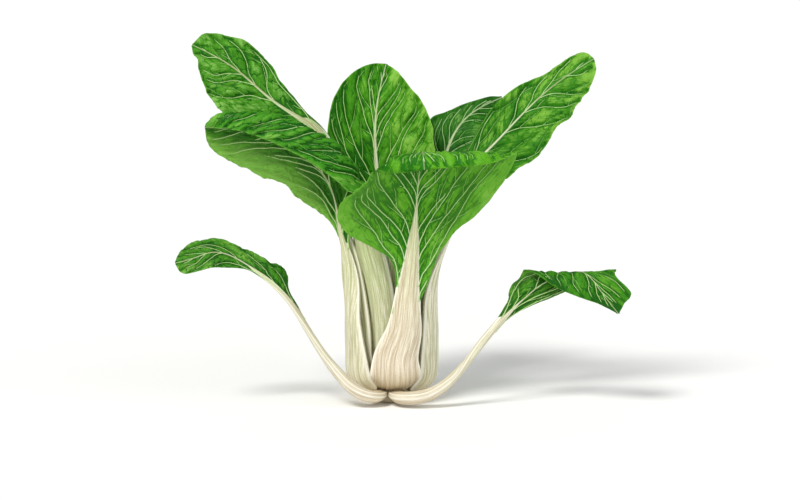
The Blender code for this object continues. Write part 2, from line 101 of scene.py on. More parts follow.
@dataclass
class Leaf:
    """One leaf, where a pair is (minus side, plus side) of the midrib unless its comment differs."""

    name: str
    azimuth: float  # of its stalk round the stem, from +X
    whorl: str  # a key of WHORLS, or "" for a splayed leaf
    path: list  # the midrib from above the stand to the tip, or all of a splayed leaf's
    reach: tuple  # half width of the blade, or roughly so where there is an outline
    blade_from: float  # the share of the length where the blade begins
    stalk: tuple  # half width of the stalk at its sheath and at its neck
    gap: float  # distance between side veins along the midrib
    pillow: float  # height of the swelling between side veins
    blister: float  # height of the small swellings between the finest veins
    seed: int
    minus: tuple = ()  # a side's outline: (share of the blade, half width), from (0, 0) to (1, 0)
    plus: tuple = ()
    widest: float = 0.55  # without an outline: the share where the blade is widest,
    blunt: float = 2.3  # how blunt its tip is
    waist: float = 1.4  # and how narrow its beginning
    facing: tuple = ()  # where the upper face looks along the blade, if not towards the axis
    curl: tuple = ((12, 12), (18, 18), (5, 5))  # how far each side bends up, from start to tip
    fold: tuple = (0, 1)  # from which to which share of the half width it bends
    slew: tuple = ()  # the plus side's way on a blade that folds over aslant
    taper: float = 1.45
    neck_at: float = 0.52
    neck_thick: float = 4.6
    foot: float = 0.75  # width of the stalk's foot, as a share of its sheath's
    # The fine surface only:
    slant: tuple = (1.1, 1.1)  # how far a side vein climbs for each millimetre out
    vein_width: float = 1
    rib_fade: tuple = (0.82, -0.05, 0.3)  # how much narrower the pale midrib gets, and where
    cell: tuple = (8.5, 5)  # the small swellings' size along the midrib, and away from it
    ruffle: float = 1.2  # how far the margin waves up and down
    step: float = 1.05  # grid spacing on the blade
    deep: tuple = (28, 96, 11)
    middle: tuple = (69, 138, 26)
    light: tuple = (124, 177, 61)
    pale: tuple = (128, 180, 88)
    under: float = 0.35  # how far the lower face goes towards pale
    cell_tone_and_crease_shade: float = 0.14  # how far the small swellings' tone differs, and how dark the painted shade is in the grooves between them
    tipward: float = 0.22  # how much lighter the blade grows to its tip
    painted_side_light: float = 0  # painted light: how much lighter its plus side is drawn, as light falls more on that half
    vein: tuple = (188, 216, 148)
    plain: float = 0  # how deep the thin veins lie in the lower face
    streak: tuple = (168, 168, 120)
    stalk_low: tuple = (232, 226, 204)
    stalk_high: tuple = (222, 226, 192)
    slot: str = "outer_leaf"


# What leaves share: the splayed ones, the inner ones, the small ones and the heart's.
LAID = dict(stalk=(8, 3.8), neck_at=0.34, neck_thick=5.8, streak=(182, 168, 138), stalk_low=(228, 216, 196))
INNER = dict(blister=0.2, ruffle=0.5, step=1.4, slot="inner_leaf")
SMALL = dict(pillow=0.4, blister=0.15, ruffle=0.4, step=1.4, slot="inner_leaf")
HEART = dict(SMALL, gap=9, neck_thick=3.6, middle=(116, 172, 40), light=(166, 206, 93),
             stalk_low=(236, 238, 204), stalk_high=(214, 228, 168))

LEAVES = [
    Leaf("front_leaf", 275, "front",
         [(8.8, -39.2, 57), (11.5, -39.2, 81), (13.5, -39.4, 101), (16.6, -41, 129), (19, -46, 161),
          (21, -55, 186), (22.8, -67, 202.5), (23.8, -80, 203), (24.8, -88, 192)],
         minus=[(0.1, 1.5), (0.18, 6), (0.24, 10), (0.283, 14.5), (0.301, 20), (0.33, 31), (0.36, 42),
                (0.391, 51), (0.435, 58), (0.49, 61), (0.55, 61), (0.61, 58), (0.67, 51), (0.73, 45),
                (0.8, 43), (0.87, 42), (0.93, 39), (0.97, 33), (0.99, 23)],
         plus=[(0.08, 3), (0.16, 11), (0.27, 17), (0.32, 19), (0.37, 24), (0.46, 36), (0.505, 46), (0.55, 53),
               (0.6, 58.5), (0.76, 71), (0.83, 73), (0.89, 72), (0.93, 68), (0.96, 61), (0.98, 52),
               (0.99, 41)],
         reach=(60, 78), blade_from=0.26, stalk=(20.5, 3.4), gap=13, pillow=3, blister=0.8, seed=1,
         curl=((2, 4), (4, 0), (-18, -4), (-45, -3), (-48, 0)), neck_at=0.62, foot=0.82, slant=(1.2, 1.5),
         rib_fade=(0.9, 0.36, 0.62), cell=(9, 5.5), ruffle=1, step=1.25, deep=(34, 106, 12),
         middle=(86, 158, 28), light=(124, 182, 66), pale=(112, 176, 64), under=0.2, cell_tone_and_crease_shade=0.4,
         tipward=-0.2, painted_side_light=0.12, vein=(184, 214, 150), streak=(180, 162, 132), stalk_low=(232, 222, 202),
         stalk_high=(210, 212, 170)),
    Leaf("left_folded_leaf", 197, "outer",
         [(-32.7, -11.5, 57), (-32.8, -12.3, 81.5), (-35.2, -13.5, 114), (-40.5, -14, 139.6),
          (-43.5, -15, 157), (-50.3, -17.5, 177.4), (-69.6, -24, 199), (-95, -31, 213), (-118, -36, 219.5),
          (-145, -41, 221)],
         minus=[(0.1, 2), (0.17, 7), (0.21, 14), (0.26, 22), (0.31, 28), (0.38, 31), (0.47, 30.5), (0.56, 32),
                (0.65, 34), (0.75, 32), (0.89, 26.5), (0.96, 19), (0.99, 11)],
         reach=(38, 58), blade_from=0.38, stalk=(25, 3.2), gap=16, pillow=2, blister=2, seed=2, widest=0.3,
         blunt=2, waist=1.6, facing=((0.5, 0.85, 0.2), (0.1, 0.95, 0.3), (0.1, 0.95, 0.3)),
         curl=((5, 20), (-8, -120), (-8, -170), (0, -150)), fold=(0.3, 0.75), taper=1, neck_at=0.42,
         slant=(2.6, 1.2), cell=(6, 5), deep=(22, 88, 12), middle=(60, 134, 24), light=(114, 170, 66),
         pale=(142, 202, 84), under=0.5, cell_tone_and_crease_shade=0.6, tipward=0.05, plain=0.8, stalk_high=(216, 218, 178)),
    Leaf("left_high_leaf", 195, "second",
         [(-26, -5.5, 73), (-33, -1, 117), (-43, 3, 165), (-61, 0, 214), (-92.4, -6, 238), (-123.6, -10, 265),
          (-156.8, -14, 284)],
         minus=[(0.28, 1.5), (0.33, 3), (0.38, 7), (0.43, 11), (0.49, 14), (0.56, 17.5), (0.62, 20.5),
                (0.67, 22.5), (0.74, 24), (0.83, 22.5), (0.89, 19.5), (0.95, 15), (0.98, 10)],
         plus=[(0.2, 1.5), (0.3, 6), (0.4, 15), (0.5, 27), (0.58, 36), (0.65, 40), (0.72, 39.5), (0.8, 35),
               (0.86, 28.5), (0.9, 22), (0.93, 15), (0.955, 9.5), (0.98, 6)],
         reach=(22, 38), blade_from=0.5, stalk=(16.5, 10), gap=24, pillow=2.8, blister=1.3, seed=3,
         facing=((0.8, -0.5, 0.2), (0.4, -0.85, 0.4), (0.3, -0.85, 0.4)), slant=(0.9, 0.8),
         rib_fade=(0.82, -0.05, 0.5), cell=(9, 4.5), ruffle=1.1, middle=(66, 136, 26), light=(124, 178, 80),
         cell_tone_and_crease_shade=0.5, stalk_low=(214, 214, 178), stalk_high=(196, 210, 152)),
    Leaf("back_centre_leaf", 114, "second",
         [(-9, 24, 76), (-9.8, 25, 125), (-11.4, 27, 170), (-13.8, 30, 202), (-12.2, 35, 234),
          (-4.9, 42, 267)],
         minus=[(0.1, 5.5), (0.2, 22), (0.3, 40), (0.38, 47.5), (0.47, 49), (0.6, 47.5), (0.69, 44),
                (0.76, 40), (0.8, 37), (0.845, 33), (0.885, 25.5), (0.935, 17.5), (0.975, 10)],
         plus=[(0.1, 2.5), (0.2, 11), (0.3, 23.5), (0.4, 34), (0.5, 39), (0.6, 39.5), (0.69, 38), (0.76, 35),
               (0.82, 32), (0.88, 26.5), (0.935, 20), (0.97, 13.5), (0.99, 7)],
         reach=(54, 38), blade_from=0.45, stalk=(13.5, 10.5), gap=19, pillow=2.8, blister=0.6, seed=4,
         facing=((0.1, -1, 0.1), (0, -1, 0.15)), slant=(1.9, 2.2), cell=(8, 5), ruffle=0.9, step=1.15,
         deep=(24, 92, 4), middle=(62, 136, 14), light=(126, 184, 66), cell_tone_and_crease_shade=0.35, painted_side_light=-0.3),
    Leaf("back_right_leaf", 40, "second",
         [(21.8, 18, 85), (28.3, 24, 129), (36.5, 31, 161), (41.5, 37, 183), (47.5, 43, 203), (59, 49, 221),
          (90, 58, 239)],
         plus=[(0.1, 3), (0.2, 8), (0.35, 17), (0.5, 22), (0.6, 24), (0.665, 23), (0.715, 17), (0.79, 10),
               (0.87, 6.5), (0.94, 4.5)],
         reach=(30, 21), blade_from=0.42, stalk=(14.5, 11), gap=16, pillow=1.8, blister=0.4, seed=5,
         widest=0.6, facing=((-0.5, -0.8, 0.2), (-0.3, -0.95, 0.2)), slant=(0.9, 0.9), cell=(8, 5),
         ruffle=0.6, step=1.4, deep=(22, 78, 8), middle=(38, 104, 14), light=(96, 150, 58), cell_tone_and_crease_shade=0.4,
         tipward=0.3, vein=(158, 194, 132)),
    Leaf("right_long_leaf", 345, "outer",
         [(32.2, -9.5, 57), (32.4, -10, 94), (38.5, -10, 121), (46, -9, 141), (56.4, -8, 167.5),
          (67.5, -7, 190.5), (80, -6, 204), (106.8, -7, 232.5), (132.6, -9, 255.5), (158.8, -13, 273)],
         minus=[(0.1, 4), (0.2, 15), (0.28, 26), (0.35, 33), (0.42, 34.5), (0.52, 38), (0.6, 36.5),
                (0.67, 33.5), (0.76, 31.5), (0.85, 26), (0.92, 21.5), (0.97, 14), (0.99, 8)],
         plus=[(0.1, 1.5), (0.2, 5), (0.3, 10.5), (0.38, 15.5), (0.45, 19.5), (0.54, 21.5), (0.62, 21),
               (0.68, 19), (0.74, 15.5), (0.79, 12.5), (0.85, 11.5), (0.92, 12.5), (0.965, 10), (0.99, 6)],
         reach=(35, 18), blade_from=0.42, stalk=(20.5, 6), gap=26, pillow=2.8, blister=1.1, seed=6,
         facing=((-0.8, -0.4, 0.2), (-0.35, -0.85, 0.4), (-0.3, -0.85, 0.4)), taper=1.2, slant=(1, 1.3),
         cell=(8, 4.5), deep=(24, 90, 10), middle=(48, 120, 16), light=(116, 172, 58), cell_tone_and_crease_shade=0.3,
         tipward=0.6, vein=(180, 212, 146), stalk_low=(244, 240, 220), stalk_high=(238, 238, 210)),
    Leaf("left_splayed_leaf", 250, "",
         [(-10.5, -25.5, 8), (-13.5, -35, 8.8), (-22, -41.5, 12), (-36, -41, 22.5), (-57, -38, 48),
          (-67, -36, 63.5), (-81.5, -35, 85.5), (-96, -35, 100.5), (-113.5, -36, 112.5), (-129, -38, 121),
          (-141, -41, 123), (-153, -44, 119.5), (-168.7, -48, 115.6)],
         minus=[(0.1, 3), (0.2, 4.5), (0.26, 9), (0.3, 15.5), (0.335, 18.5), (0.37, 17.5), (0.42, 14.5),
                (0.55, 13), (0.64, 11.5), (0.72, 13.5), (0.78, 12.5), (0.86, 14), (0.93, 11), (0.97, 6.5)],
         plus=[(0.45, 0.3), (0.51, 2), (0.56, 5), (0.62, 8.5), (0.7, 10.5), (0.79, 12), (0.89, 10.5),
               (0.95, 10), (0.985, 7)],
         reach=(24, 16), blade_from=0.42, gap=22, pillow=1.9, blister=1.4, seed=7,
         facing=((0.8, -0.3, 0.5), (0.2, -0.85, 0.5), (0.1, -0.85, 0.5)),
         curl=((0, 0), (-25, -20), (-25, -25)), slant=(0.8, 0.8), vein_width=0.75, cell=(6, 4.5), ruffle=0.8,
         step=0.95, deep=(22, 81, 11), middle=(60, 124, 26), light=(112, 164, 64), cell_tone_and_crease_shade=0.45,
         stalk_high=(216, 216, 190), **LAID),
    Leaf("right_splayed_leaf", 290, "",
         [(4.5, -25.5, 8), (6, -35.5, 8.4), (14, -42, 9.2), (27, -43, 11.6), (42, -42, 20), (56.5, -40, 34.5),
          (75, -37, 56.5), (92, -34, 75), (106, -33, 87.5), (120.5, -32, 98.5), (134, -32, 104),
          (147, -37, 107), (154.5, -44, 104), (162, -49, 95), (168.5, -51, 86.5), (176.5, -52, 76.5)],
         minus=[(0.12, 3), (0.19, 6.5), (0.26, 11), (0.33, 16.5), (0.4, 22), (0.46, 26), (0.55, 33),
                (0.67, 41), (0.75, 38), (0.8, 34), (0.84, 28), (0.88, 20), (0.92, 10), (0.96, 5)],
         plus=[(0.1, 2.5), (0.17, 6), (0.2, 9.5), (0.25, 18), (0.31, 24.5), (0.35, 28), (0.42, 33), (0.5, 37),
               (0.58, 36), (0.67, 25), (0.75, 20.5), (0.84, 23), (0.88, 19.5), (0.92, 12), (0.96, 6)],
         reach=(40, 38), blade_from=0.44, gap=15, pillow=1.7, blister=0.7, seed=8,
         facing=((-0.4, 0.8, 0.4), (-0.4, 0.8, 0.4)), curl=((0, 0), (4, 4), (0, 0)), slew=(1, 0, 0),
         slant=(1.4, 1.2), vein_width=0.8, cell=(8, 4.5), ruffle=0.6, step=1.1, deep=(23, 85, 10),
         middle=(52, 122, 16), light=(106, 164, 50), under=0.1, cell_tone_and_crease_shade=0.45, tipward=-0.1,
         stalk_high=(216, 216, 188), **LAID),
    Leaf("rear_leaf", 95, "outer",
         [(-3, 34, 60), (-3, 38, 100), (-2, 46, 140), (0, 58, 175), (2, 76, 205), (4, 100, 226)],
         reach=(40, 40), blade_from=0.45, stalk=(21.5, 11), gap=20, pillow=1.8, blister=0.4, seed=9,
         slant=(1.2, 1.2), ruffle=1, step=1.6),
    Leaf("inner_front_leaf", 300, "second",
         [(13, -22.5, 80), (16, -24, 120), (19, -26, 150), (22, -30, 180)],
         reach=(20, 20), blade_from=0.5, stalk=(15.5, 10), gap=13, pillow=0.6, seed=10,
         stalk_high=(176, 204, 130), **INNER),
    Leaf("inner_left_leaf", 235, "third",
         [(-13.5, -14.5, 90), (-20.6, -16.6, 122), (-23.8, -18.6, 148), (-20, -21, 170)],
         reach=(12, 12), blade_from=0.82, stalk=(14.5, 15.8), gap=12, seed=11, neck_at=0.8,
         stalk_low=(226, 226, 194), stalk_high=(192, 208, 150), **SMALL),
    Leaf("inner_right_leaf", 345, "third",
         [(18.5, -4.5, 90), (22, -4, 125), (30, -5, 168)],
         reach=(20, 20), blade_from=0.55, stalk=(12, 9), gap=12, pillow=0.5, seed=12,
         stalk_high=(170, 200, 124), **INNER),
    Leaf("inner_rear_leaf", 80, "third",
         [(2.5, 18.5, 90), (2, 19, 125), (2, 19.5, 160)],
         reach=(18, 18), blade_from=0.55, stalk=(13, 9), gap=12, pillow=0.5, seed=13,
         stalk_high=(170, 200, 124), **INNER),
    Leaf("heart_front_leaf", 285, "heart",
         [(0, -10, 89), (-1.2, -12.5, 105), (-1.8, -16, 122), (-2.2, -18, 140), (-1.5, -18, 161)],
         reach=(13, 13), blade_from=0.78, stalk=(8.8, 7.6), seed=14, neck_at=0.75, **HEART),
    Leaf("heart_rear_leaf", 105, "heart",
         [(-2.8, 9, 90), (-3, 7, 120), (-4, 4, 148)],
         reach=(12, 12), blade_from=0.5, stalk=(8.6, 6), seed=15, **HEART),
]


# ---- the curves that the solids and the fine surface share

def through(points):
    """A natural cubic spline through the points, as many close points and their running length."""
    points = np.array(points, float)
    keys = np.r_[0, np.cumsum(np.linalg.norm(np.diff(points, axis=0), axis=1))]
    gap = np.diff(keys)
    count = len(points)
    system = np.eye(count)
    right = np.zeros_like(points)
    for i in range(1, count - 1):
        system[i, i - 1:i + 2] = gap[i - 1], 2 * (gap[i - 1] + gap[i]), gap[i]
        right[i] = 6 * ((points[i + 1] - points[i]) / gap[i] - (points[i] - points[i - 1]) / gap[i - 1])
    bend = np.linalg.solve(system, right)
    at = np.linspace(0, keys[-1], SPINE_SAMPLES)
    i = np.clip(np.searchsorted(keys, at) - 1, 0, count - 2)
    h = gap[i][:, None]
    after = (at - keys[i])[:, None] / h
    before = 1 - after
    line = (before * points[i] + after * points[i + 1]
            + ((before**3 - before) * bend[i] + (after**3 - after) * bend[i + 1]) * h**2 / 6)
    return line, np.r_[0, np.cumsum(np.linalg.norm(np.diff(line, axis=0), axis=1))]


def eased(keys, values, at):
    """A monotone cubic curve through values at keys, which never overshoots them."""
    keys = np.asarray(keys, float)
    values = np.asarray(values, float).reshape(len(keys), -1)
    gap = np.diff(keys)[:, None]
    slope = np.diff(values, axis=0) / gap
    tangent = np.zeros_like(values)
    tangent[0], tangent[-1] = slope[0], slope[-1]
    same = slope[:-1] * slope[1:] > 0
    tangent[1:-1][same] = 2 / (1 / slope[:-1][same] + 1 / slope[1:][same])
    i = np.clip(np.searchsorted(keys, at) - 1, 0, len(keys) - 2)
    t = np.clip((at - keys[i]) / gap[i, 0], 0, 1)[:, None]
    h = gap[i]
    found = ((1 + 2 * t) * (1 - t)**2 * values[i] + t * (1 - t)**2 * h * tangent[i]
             + t * t * (3 - 2 * t) * values[i + 1] + t * t * (t - 1) * h * tangent[i + 1])
    return found[:, 0] if found.shape[1] == 1 else found


def sample(at, keys, values):
    """Every column of values, read off at the keys in at."""
    return np.stack([np.interp(at, keys, column) for column in values.T], axis=1)


def unit(vectors):
    return vectors / np.maximum(np.linalg.norm(vectors, axis=-1, keepdims=True), 1e-12)


def part_of(value, low, high=1):
    """How far value has come from low to high, from 0 to 1."""
    return np.clip((value - low) / (high - low), 0, 1)


def smooth(value, low, high):
    t = part_of(value, low, high)
    return t * t * (3 - 2 * t)


def outward(azimuth):
    turn = math.radians(azimuth)
    return np.array([math.cos(turn), math.sin(turn), 0])


def spine(leaf):
    """The leaf's whole midrib: up its whorl's sheath, then along its own path."""
    if not leaf.whorl:
        return through(leaf.path)
    whorl = WHORLS[leaf.whorl]
    rise = [outward(leaf.azimuth) * radius + (0, 0, height)
            for radius, height in (whorl["foot"], whorl["sheath"], whorl["stand"])]
    return through(rise + leaf.path)


def frames(leaf, shares):
    """Along the leaf: midrib points, the way to the plus side, and the way the upper face looks."""
    line, run = spine(leaf)
    at = shares * run[-1]
    centre = sample(at, run, line)
    ahead = unit(sample(at, run, np.gradient(line, run, axis=0)))
    home = -outward(leaf.azimuth) if leaf.whorl else np.array([0, 0, 1])
    if leaf.facing:
        keys = np.r_[0, leaf.blade_from * 0.55, np.linspace(leaf.blade_from, 1, len(leaf.facing))]
        face = eased(keys, [home, home, *leaf.facing], shares)
        side = np.cross(unit(face - (face * ahead).sum(1, keepdims=True) * ahead), ahead)
        if leaf.slew:
            from_to = leaf.blade_from + (1 - leaf.blade_from) * np.array([0.02, 0.25])
            part = eased([0, *from_to, 1], [0, 0, 1, 1], shares)[:, None]
            side = unit(side * (1 - part) + unit(np.array(leaf.slew)) * part)
        return centre, side, unit(np.cross(ahead, side)), run[-1]
    across = np.array([home[1], -home[0], 0])
    side = unit(across - (ahead @ across)[:, None] * ahead)
    return centre, side, np.cross(ahead, side), run[-1]


def widths(leaf, shares, length):
    """Half width of the stalk and midrib, and of the whole leaf on each side."""
    base, neck = leaf.stalk
    swell = min(0.14, 16 / length)
    down = part_of(shares, leaf.neck_at, swell)
    up = part_of(shares, leaf.neck_at)
    heel = np.sqrt(1 - (1 - part_of(shares, 0, swell))**2)
    rib = neck + (base - neck) * down**leaf.taper + (TIP_RIB - neck) * up
    rib = rib * (leaf.foot + (1 - leaf.foot) * heel)
    blade = part_of(shares, leaf.blade_from)
    sides = []
    for which, outline in enumerate((leaf.minus, leaf.plus)):
        if outline:
            keys, reaches = zip((0, 0), *outline, (1, 0))
            wing = eased(keys, reaches, blade)
        else:
            rise = (0.5 - 0.5 * np.cos(math.pi * np.minimum(blade / leaf.widest, 1)))**leaf.waist
            fall = 1 - part_of(blade, leaf.widest)**leaf.blunt
            wing = leaf.reach[which] * rise * fall**(1 / leaf.blunt)
        at = shares * length
        nick = 0.014 * waves(at / 9, which * 5, leaf.seed)
        nick = nick + 0.008 * waves(at / 4, which * 9, leaf.seed + 1)
        sides.append(np.hypot(rib, wing * (1 + nick)))
    return rib, sides, blade


# ---- the fine surface

def waves(x, y, seed):
    """Smooth noise from about -1 to 1, with features about one unit long."""
    random = np.random.default_rng(1000 + seed)
    total = 0
    for size in (0.45, 0.7, 1, 1.35, 1.9):
        turn = random.uniform(0, 2 * math.pi)
        phase = random.uniform(0, 2 * math.pi)
        total = total + np.sin(size * (x * math.cos(turn) + y * math.sin(turn)) + phase)
    return total / 2.6


def scatter(i, j, seed):
    """A repeatable random number from 0 to 1 for each pair of whole numbers."""
    return np.modf(np.abs(np.sin(i * 127.1 + j * 311.7 + seed * 74.7) * 43758.5453))[0]


def swellings(rank, out, rank_size, out_size, seed):
    """For a field of rounded cells: how far each point is from its cell's edge, and the cell's own number."""
    first = np.full(np.shape(rank), 1e9)
    second = first.copy()
    number = np.zeros_like(first)
    row, column = np.floor(rank), np.floor(out)
    for i in (-1, 0, 1):
        for j in (-1, 0, 1):
            a, b = row + i, column + j
            far = np.hypot((a + 0.5 + 0.5 * (scatter(a, b, seed) - 0.5) - rank) * rank_size,
                           (b + 0.5 + 0.8 * (scatter(a, b, seed + 9) - 0.5) - out) * out_size)
            nearer = far < first
            second = np.where(nearer, first, np.minimum(second, far))
            number = np.where(nearer, scatter(a, b, seed + 17), number)
            first = np.where(nearer, far, first)
    return (second - first) / 2, number


def rows_of(leaf, length):
    """Shares of the leaf's length where its rows of vertices lie, closer together at the tip."""
    stalk = np.linspace(0, leaf.blade_from, int(leaf.blade_from * length / STALK_STEP))
    rest = (1 - leaf.blade_from) * length
    blade = np.linspace(0, TIP_FROM, int(rest * TIP_FROM / leaf.step))
    tip = TIP_FROM + (1 - TIP_FROM) * np.sin(np.linspace(0, math.pi / 2, TIP_ROWS))
    return np.r_[stalk[:-1], leaf.blade_from + (1 - leaf.blade_from) * np.r_[blade[:-1], tip]]


def columns_of(leaf):
    """Places across the leaf from -1 to 1, those within RIB_EDGE on the midrib."""
    def one(reach):
        return np.r_[np.linspace(0, RIB_EDGE, RIB_COLUMNS)[1:],
                     np.linspace(RIB_EDGE, 1, int(reach / leaf.step) + 2)[1:]]
    return np.r_[-one(leaf.reach[0])[::-1], 0, one(leaf.reach[1])]


def middle_of(leaf, shares, columns):
    """The leaf's middle surface with what is known of each point on it."""
    centre, side, face, length = frames(leaf, shares)
    rib, sides, blade = widths(leaf, shares, length)
    whorl = WHORLS.get(leaf.whorl, SPLAYED)
    rooted = whorl["root"] * (1 - smooth(shares * length, 0, ROOT_RUN))
    centre = centre - rooted[:, None] * unit(centre[1] - centre[0])
    hug = np.degrees(rib / whorl["stand"][0])
    spread = eased([0, 0.12, 0.35, 1], [0, 0, 1, 1], blade)
    body = eased([0, 0.1, leaf.neck_at, leaf.neck_at * 0.6 + 0.4, 1],
                 [whorl["thick"] * 0.8, whorl["thick"], leaf.neck_thick, leaf.neck_thick * 0.45 + 0.6,
                  BLADE_THICK * 1.15], shares)
    shape = (len(shares), len(columns))
    points, normals = np.empty((2, *shape, 3))
    thick, across, wide_of = np.empty((3, *shape))
    for which, sign in ((0, -1), (1, 1)):
        mine = np.flatnonzero(columns * sign >= 0)
        curls = eased(np.linspace(0, 1, len(leaf.curl)), [pair[which] for pair in leaf.curl], blade)
        turn = np.radians(hug * (1 - spread) + curls * spread)[:, None]
        uneven = waves(shares * length / 4.5, sign * 3, leaf.seed + 9)
        wide = (sides[which] + UNEVEN * uneven * smooth(sides[which] - rib, 3, 10))[:, None]
        even = np.abs(columns[mine])[None, :]
        inner = np.minimum(even / RIB_EDGE, 1) * RIB_OUT * rib[:, None]
        split = inner + part_of(even, RIB_EDGE) * (wide - RIB_OUT * rib[:, None])
        bladed = part_of(wide / rib[:, None], 1.25, 2.5)
        out = (even * wide * (1 - bladed) + split * bladed) / wide
        start = leaf.fold[0] * spread[:, None]
        end = 1 - (1 - leaf.fold[1]) * spread[:, None]
        x, y = np.zeros((2, *out.shape))
        for step in range(CURL_STEPS):
            at = out * (step + 0.5) / CURL_STEPS
            angle = turn * part_of(at, start, end)
            x += np.cos(angle) * out / CURL_STEPS
            y += np.sin(angle) * out / CURL_STEPS
        angle = (turn * part_of(out, start, end))[..., None]
        points[:, mine] = (centre[:, None] + sign * (x * wide)[..., None] * side[:, None]
                           + (y * wide)[..., None] * face[:, None])
        normals[:, mine] = np.cos(angle) * face[:, None] - sign * np.sin(angle) * side[:, None]
        bulk = np.clip(out * wide / (RIB_OUT * rib[:, None]), 0, 1)
        thick[:, mine] = BLADE_THICK + (body[:, None] - BLADE_THICK) * (1 - bulk**2)
        across[:, mine] = sign * out * wide
        wide_of[:, mine] = wide
    run, rib, blade = (values[:, None] * np.ones(shape) for values in (shares * length, rib, blade))
    return SimpleNamespace(points=points, normals=normals, thick=thick, across=across, run=run,
                           wide=wide_of, rib=rib, blade=blade)


def grid_normals(points, like):
    """The surface's true normals, on the side that like shows."""
    along = np.gradient(points, axis=0)
    over = np.gradient(points, axis=1)
    found = unit(np.cross(along, over))
    return found * np.sign((found * like).sum(-1, keepdims=True) + 1e-9)


def vein_lines(leaf, length, side):
    """The side veins of one side of a blade: lists of (run, out, half width, strength)."""
    random = np.random.default_rng(100 * leaf.seed + side)
    shares = np.linspace(0, 1, 800)
    rib, sides, blade = widths(leaf, shares, length)
    run = shares * length
    edge = np.convolve(np.pad(sides[side], 12, "edge"), np.ones(25) / 25, "valid")
    core = midrib(leaf, rib, blade)
    lean = math.degrees(math.atan(1 / leaf.slant[side]))

    buds = []
    at = leaf.blade_from * length + random.uniform(0.1, 0.5) * leaf.gap
    while at < length * 0.965:
        share = part_of(at / length, leaf.blade_from)
        width, strength, steps, depth = MAIN_VEIN if len(buds) % 4 != 3 else SHORT_VEIN
        buds.append((at, np.interp(at, run, core) * 0.9, width * (1 - 0.4 * share), strength,
                     lean * 0.35, lean, steps, depth))
        at += leaf.gap * random.uniform(0.65, 1.05) * (1 - 0.35 * share)

    lines, taken = [], {}
    for bud in buds:
        at, out, width, strength, heading, lean, steps, depth = bud
        line = []
        drift = 0
        hand = random.choice([-1, 1])
        next_fork = random.integers(3, 7)
        for step in range(steps):
            limit = np.interp(at, run, edge)
            cell = (round(at / 1.7), round(out / 1.7))
            met = taken.setdefault(cell, len(lines))
            crosses = met != len(lines) and step > 2
            if out > 0.94 * limit or at > length * 0.99 or width < THINNEST or crosses:
                break
            line.append((at, out, width * leaf.vein_width, strength))
            ahead = np.interp(at + 12, run, edge) - out
            aim = heading + (lean - heading) * min(1, step / 9) - 18 * smooth(out / limit, 0.65, 1)
            aim = min(aim, math.degrees(math.atan2(max(ahead * 0.8, 1.5), 12)))
            drift = 0.8 * drift + random.normal(0, 3.5)
            angle = math.radians(np.clip(aim + drift, -25, 100))
            at += VEIN_STEP * math.cos(angle)
            out = max(out + VEIN_STEP * math.sin(angle), 0.1)
            width *= 0.987 if depth == 0 else 0.96
            strength = max(strength * 0.99, 0.25)
            if depth < 3 and step >= next_fork:
                next_fork = step + random.integers(5, 10) - depth
                hand = -hand
                way = math.degrees(angle) + hand * random.uniform(26, 42)
                buds.append((at, out, width * 0.6, strength * 0.75, way, way - hand * random.uniform(8, 20),
                             random.integers(10, 26) if depth == 0 else random.integers(4, 9), depth + 1))
        if len(line) > 2:
            lines.append(np.array(line))
    return lines


def midrib(leaf, rib, blade):
    """Half width of the pale midrib that shows, which narrows faster than the solid's."""
    amount, low, high = leaf.rib_fade
    return rib * (1 - amount * smooth(blade, low, high)) * (1 - 0.4 * smooth(blade, high, 1))


def nearest_vein(lines, run, out):
    """Distance in the flat blade from every grid point to the nearest vein, a little more for a thin one."""
    marks = []
    for line in lines:
        if line[0, 2] < PARTING:
            continue
        at = np.linspace(0, len(line) - 1, len(line) * 3)
        marks.append(sample(at, np.arange(len(line)), line[:, :3]))
    marks = np.concatenate(marks)
    tree = KDTree(len(marks))
    for i, (a, b, _) in enumerate(marks):
        tree.insert((a, b, 0), i)
    tree.balance()
    found = [tree.find((a, b, 0)) for a, b in zip(run.ravel(), out.ravel())]
    far = np.array([f[2] for f in found]).reshape(run.shape)
    width = marks[[f[1] for f in found], 2].reshape(run.shape)
    return far + 4 * np.maximum(0.4 - width, 0)


def vein_tubes(leaf, lines, sign, m, base, normal):
    """Closed tubes along the veins: for each its rings, across, run, strength and which is upper."""
    rows, columns = (np.arange(n) for n in base.shape[:2])
    tubes = []
    for line in lines:
        at, out = line[:, 0], line[:, 1] * sign
        i = np.clip(np.interp(at, m.run[:, 0], rows), 0, len(rows) - 1.001)
        low = i.astype(int)
        part = (i - low)[:, None]

        def in_row(grid, row):
            j = np.array([np.interp(o, m.across[k], columns) for k, o in zip(row, out)])
            left = np.clip(j.astype(int), 0, len(columns) - 2)
            t = (j - left)[:, None]
            return grid[row, left] * (1 - t) + grid[row, left + 1] * t

        def along(grid):
            return in_row(grid, low) * (1 - part) + in_row(grid, low + 1) * part
        centre = along(base)
        up = unit(along(normal))
        ahead = unit(np.gradient(centre, axis=0))
        side = unit(np.cross(up, ahead))
        end = np.clip(np.arange(len(line))[::-1] / 3, 0.05, 1)
        width = line[:, 2] * (0.3 + 0.7 * end)
        thick = along(m.thick[..., None])[:, 0]
        above = (thick * INNER_SHARE + 0.04 + 0.3 * line[:, 2]) / TUBE_TOP * end
        below = (thick * (1 - INNER_SHARE) + 0.04 + 0.55 * line[:, 2]) / TUBE_TOP * end
        below = np.maximum(below - leaf.plain * smooth(-line[:, 3], -0.8, -0.7), 0.1 * end)
        turns = np.linspace(0, 2 * math.pi, TUBE_SIDES, endpoint=False)
        high = np.where(np.sin(turns) >= 0, above[:, None], below[:, None]) * np.sin(turns)
        ring = (centre[:, None] + side[:, None] * (np.cos(turns) * width[:, None])[..., None]
                + up[:, None] * high[..., None])
        tubes.append((ring, out[:, None], at[:, None], line[:, 3:], np.sin(turns) > -0.1))
    return tubes


